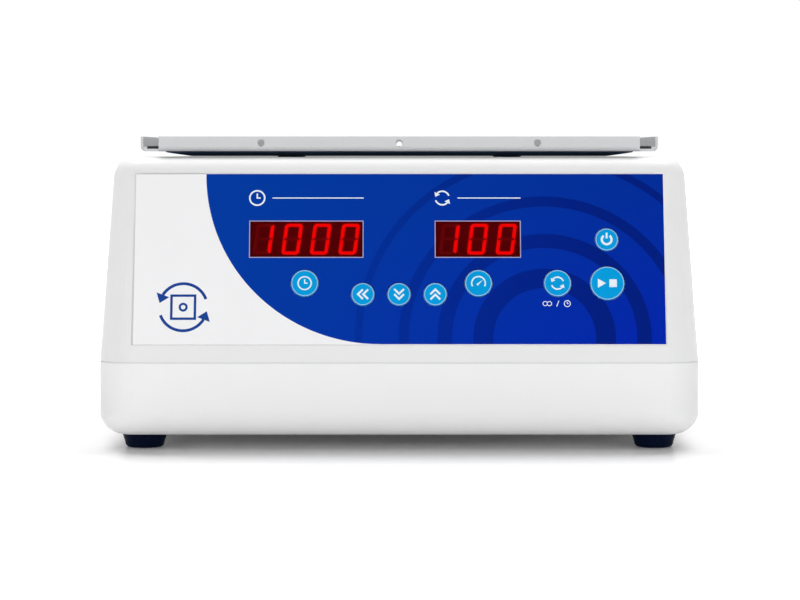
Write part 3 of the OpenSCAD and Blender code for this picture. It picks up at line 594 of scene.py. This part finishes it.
def power_symbol():
    """A ring that is open at the top, and a bar in the gap."""
    ring = arc(2.15, 128, 412)
    bar = [(0, 3.1), (0, 0.5)]
    return [stroke(ring, 1.0), stroke(bar, BOLD)]


def clock_symbol(radius, width):
    hands = [(0, MINUTE_HAND * radius), (0, 0), (HOUR_HAND * radius, 0)]
    return [circle(radius, width), stroke(hands, width * HAND_WIDTH)]


def gauge_symbol():
    """A dial that is open at the bottom, and its needle."""
    dial = arc(3.0, -28, 208)
    needle = [(-0.95, -0.45), (-0.3, -1.1), (1.85, 1.5)]
    return [stroke(dial, 0.6), patch(needle)]


def turning_symbol(radius, width, head):
    """Two arrows that chase each other round a circle."""
    shapes = []
    head_angle = math.degrees(head / radius)
    for start in TURN_STARTS:
        end = start + TURN_SWEEP - head_angle
        shapes.append(stroke(arc(radius, start, end), width))
        tip = arc(radius, end, end + head_angle, count=1)[1]
        shapes.append(arrow_head(tip, end + 90 + head_angle / 2, head))
    return shapes


def start_symbol():
    """A triangle for start and a square for stop."""
    triangle = [(-4.2, 2.1), (-4.2, -2.1), (-0.6, 0.0)]
    square = [(0.9, -1.75), (4.2, -1.75), (4.2, 1.75), (0.9, 1.75)]
    return [patch(triangle), patch(square)]


KEY_SYMBOLS = {
    "timer": clock_symbol(2.9, 0.6),
    "left": chevrons(0),
    "down": chevrons(90),
    "up": chevrons(-90),
    "speed": gauge_symbol(),
    "mode": turning_symbol(2.7, 0.65, 1.5),
    "power": power_symbol(),
    "start": start_symbol(),
}
CAP_RIM = 0.28
CAP_CHAMFER = 0.2

film_top = face_box("control_panel")[1][2]
for key, symbol in KEY_SYMBOLS.items():
    low, high = face_box("key_" + key)
    middle = ((low[0] + high[0]) / 2, (low[1] + high[1]) / 2)
    radius = (high[0] - low[0]) / 2
    rim = circle(radius - CAP_CHAMFER - CAP_RIM / 2, CAP_RIM)
    top = high[2]
    for name, shapes, material in (("symbol", symbol, INK_WHITE), ("rim", [rim], INK_RIM)):
        face_piece(f"key_{key}_{name}", [shifted(shape, *middle) for shape in shapes],
                   top - PRINT_SINK, top + PRINT_HEIGHT, "button_" + key, material)


# ---------- Windows and digits, in millimetres ----------

DIGIT_PITCH = 12.65
DIGIT_SLANT = math.tan(math.radians(7.4))
DIGIT_HALF_WIDTH = 3.2
DIGIT_HALF_HEIGHT = 6.3
DIGIT_RISE = 0.3
BAR_HALF = 0.78
BAR_HALF_HIGH = 0.66
CORNER_CUT = 0.9
SEGMENT_GAP = 0.07
SEGMENT_SINK = 0.3
SEGMENT_HEIGHT = 0.12
WINDOW_LINE = 0.38
LIT = {
    "0": {"top", "bottom", "upper_left", "upper_right", "lower_left", "lower_right"},
    "1": {"upper_right", "lower_right"},
}

LIT_GLOW = (1.0, 0.001, 0.0, 1.0)
LIT_STRENGTH = 2.4


def lit_finish():
    """Red segment that glows."""
    finish = Finish("segment_lit", 0.5, specular=0.0)
    finish.color(finish.mottle(linear(230, 10, 8), 0.05, scale=300.0))
    finish.rough(finish.noise(900.0), 0.05)
    finish.shader.inputs["Emission Color"].default_value = LIT_GLOW
    finish.shader.inputs["Emission Strength"].default_value = LIT_STRENGTH
    return finish.material


LIT_RED = lit_finish()
UNLIT_RED = plain_finish("segment_unlit", linear(246, 28, 30), 0.5, specular=0.0, mottle=0.05)


def segments():
    """The seven segments of a digit by name, as outlines that lean with it."""
    half = BAR_HALF
    lying = BAR_HALF_HIGH
    wide = DIGIT_HALF_WIDTH
    high = DIGIT_HALF_HEIGHT
    cut = CORNER_CUT
    gap = SEGMENT_GAP
    top = [(half + gap - wide, high - lying), (cut / 2 - half + gap - wide, high + lying - cut / 2),
           (cut - half + gap - wide, high + lying)]
    top += [(-x, y) for x, y in reversed(top)]
    upper = [(half - wide, high - lying - gap), (cut / 2 - half - wide, high + lying - cut / 2 - gap),
             (-half - wide, high + lying - cut - gap), (-half - wide, 2 * gap), (half - wide, lying + gap)]
    middle = [(-wide + gap, 0), (half - wide, lying - 2 * gap), (wide - half, lying - 2 * gap),
              (wide - gap, 0), (wide - half, 2 * gap - lying), (half - wide, 2 * gap - lying)]
    shapes = {
        "top": top,
        "bottom": [(x, -y) for x, y in top],
        "upper_left": upper,
        "upper_right": [(-x, y) for x, y in upper],
        "lower_left": [(x, -y) for x, y in upper],
        "lower_right": [(-x, -y) for x, y in upper],
        "middle": middle,
    }
    return {name: [(x + y * DIGIT_SLANT, y) for x, y in points] for name, points in shapes.items()}


def dress_window(name, text):
    """The pale line round a window, and the lit and unlit segments behind it."""
    low, high = face_box(name + "_window")
    edge = [(low[0], low[1]), (high[0], low[1]), (high[0], high[1]), (low[0], high[1])]
    middle = ((low[0] + high[0]) / 2, (low[1] + high[1]) / 2)
    half = WINDOW_LINE / 2
    line = []
    for x, y in edge:
        inwards = (half if x < middle[0] else -half, half if y < middle[1] else -half)
        line.append((x + inwards[0], y + inwards[1]))
    face_piece(name + "_window_line", [stroke(line, WINDOW_LINE, closed=True)],
               high[2] - PRINT_SINK, high[2] + PRINT_HEIGHT, "body", INK_FRAME)

    front = face_box(name + "_display")[1][2]
    shapes = {True: [], False: []}
    for index, digit in enumerate(text):
        across = middle[0] + (index - (len(text) - 1) / 2) * DIGIT_PITCH
        for part, outline in segments().items():
            shapes[part in LIT[digit]].append(patch(moved(outline, across, middle[1] + DIGIT_RISE)))
    for lit, material, word in ((True, LIT_RED, "lit"), (False, UNLIT_RED, "unlit")):
        face_piece(f"{name}_segments_{word}", shapes[lit], front - SEGMENT_SINK, front + SEGMENT_HEIGHT,
                   "body", material)


dress_window("time", "1000")
dress_window("speed", "100")


# ---------- Symbols printed on the film, in millimetres ----------

def printed(name, shapes, material):
    face_piece(name, shapes, film_top - PRINT_SINK, film_top + PRINT_HEIGHT, "body", material)


HEADING_V = 27.6
HEADING_LINE = 0.45
HEADING_GAP = 3.4
for name, symbol in (("time", clock_symbol(3.3, 0.7)), ("speed", turning_symbol(3.1, 0.7, 1.8))):
    low, high = face_box(name + "_window")
    place = low[0] + HEADING_GAP
    shapes = [shifted(shape, place, HEADING_V) for shape in symbol]
    shapes.append(stroke([(place + 2 * HEADING_GAP, HEADING_V), (high[0], HEADING_V)], HEADING_LINE))
    printed(f"heading_{name}", shapes, INK_WHITE)

# Under the mode key: endless running or timed running
CAPTION_V = -20.4
CAPTION_LINE = 0.34
ENDLESS_LOOP = 0.95
ENDLESS_ACROSS = -4.6
TIMED_ACROSS = 4.2
caption = []
for side in (-1, 1):
    caption.append(circle(ENDLESS_LOOP, CAPTION_LINE, (side * ENDLESS_LOOP + ENDLESS_ACROSS, 0)))
caption.append(stroke([(-0.5, -1.3), (0.5, 1.3)], CAPTION_LINE))
caption += [shifted(shape, TIMED_ACROSS, 0) for shape in clock_symbol(1.35, CAPTION_LINE)]
mode_low, mode_high = face_box("key_mode")
mode_middle = (mode_low[0] + mode_high[0]) / 2
printed("caption_mode", [shifted(shape, mode_middle, CAPTION_V) for shape in caption], INK_WHITE)

# On the white field: a tray seen from above and the way it moves
TRAY_SYMBOL_MIDDLE = (-95.3, -22.0)
TRAY_HALF = 5.2
tray_corners = [(x * TRAY_HALF, y * TRAY_HALF) for x, y in ((-1, -1), (1, -1), (1, 1), (-1, 1))]
tray_symbol = [stroke(tray_corners, 1.1, closed=True), circle(1.5, 1.0)]
tray_symbol += turning_symbol(10.6, 1.3, 4.0)
printed("tray_symbol", [shifted(shape, *TRAY_SYMBOL_MIDDLE) for shape in tray_symbol], INK_BLUE)


# ---------- Floor, light and camera, in metres and watts ----------

FLOOR_HALF = 30.0
FLOOR_WHITE = (0.97, 0.97, 0.97, 1.0)
FLOOR_NEAR = 0.38
FLOOR_FAR = 0.8
FLOOR_LIFT_NEAR = 0.03
FLOOR_LIFT_FAR = 1.0
SKY_LIGHT = 0.36
LIGHT_AIM = (0.0, 0.0, 0.1)
LIGHTS = {
    "top_light": dict(place=(0.0, 0.82, 2.3), width=2.6, height=0.8, power=64.0),
    "front_light": dict(place=(0.0, -3.0, 0.55), width=3.0, height=0.9, power=29.5),
}


def seen_directly(tree):
    """1 where the camera looks, also by way of gloss or glass, and 0 for the rays that light the object."""
    rays = tree.nodes.new("ShaderNodeLightPath")
    seen = Value(tree, rays.outputs["Is Camera Ray"])
    for name in ("Is Glossy Ray", "Is Transmission Ray"):
        seen = seen.largest(Value(tree, rays.outputs[name]))
    return seen


def make_floor():
    """Pale floor that keeps the shadow and turns white, as seen, farther from the object."""
    mesh = bmesh.new()
    corners = ((-1, -1), (1, -1), (1, 1), (-1, 1))
    mesh.faces.new([mesh.verts.new((x * FLOOR_HALF, y * FLOOR_HALF, 0)) for x, y in corners])
    data = bpy.data.meshes.new("floor")
    mesh.to_mesh(data)
    mesh.free()
    finish = Finish("floor", 0.3, specular=0.25)
    finish.color(FLOOR_WHITE)
    finish.rough(finish.noise(40.0), 0.02)
    across = finish.axis(0)
    along = finish.axis(1)
    far = (across * across + along * along).do("SQRT").ramp(FLOOR_NEAR, FLOOR_FAR)
    lift = far.spread(FLOOR_LIFT_NEAR, FLOOR_LIFT_FAR) * seen_directly(finish.tree)
    finish.shader.inputs["Emission Color"].default_value = WHITE_LIGHT
    connect(finish.tree, lift, finish.shader.inputs["Emission Strength"])
    data.materials.append(finish.material)
    floor = bpy.data.objects.new("floor", data)
    bpy.context.scene.collection.objects.link(floor)


def make_sky():
    """White where the camera, gloss or glass sees it, and a softer even light elsewhere."""
    world = bpy.data.worlds.new("studio")
    world.use_nodes = True
    tree = world.node_tree
    background = tree.nodes["Background"]
    background.inputs["Color"].default_value = WHITE_LIGHT
    connect(tree, seen_directly(tree).spread(SKY_LIGHT, 1.0), background.inputs["Strength"])
    bpy.context.scene.world = world


def soft_box(name, place, width, height, power):
    light = bpy.data.lights.new(name, "AREA")
    light.shape = "RECTANGLE"
    light.size = width
    light.size_y = height
    light.energy = power
    box = bpy.data.objects.new(name, light)
    box.location = place
    box.rotation_euler = (Vector(LIGHT_AIM) - Vector(place)).to_track_quat("-Z", "Y").to_euler()
    bpy.context.scene.collection.objects.link(box)


make_floor()
make_sky()
for name, values in LIGHTS.items():
    soft_box(name, **values)

camera_data = bpy.data.cameras.new("camera")
camera_data.sensor_width = CAMERA_SENSOR
camera_data.lens = CAMERA_LENS
camera_data.shift_x = CAMERA_SHIFT_X
camera = bpy.data.objects.new("camera", camera_data)
camera.location = CAMERA_PLACE
camera.rotation_euler = (math.radians(90 + CAMERA_PITCH), 0, 0)
bpy.context.scene.collection.objects.link(camera)
bpy.context.scene.camera = camera
bpy.context.scene.view_settings.view_transform = "Standard"
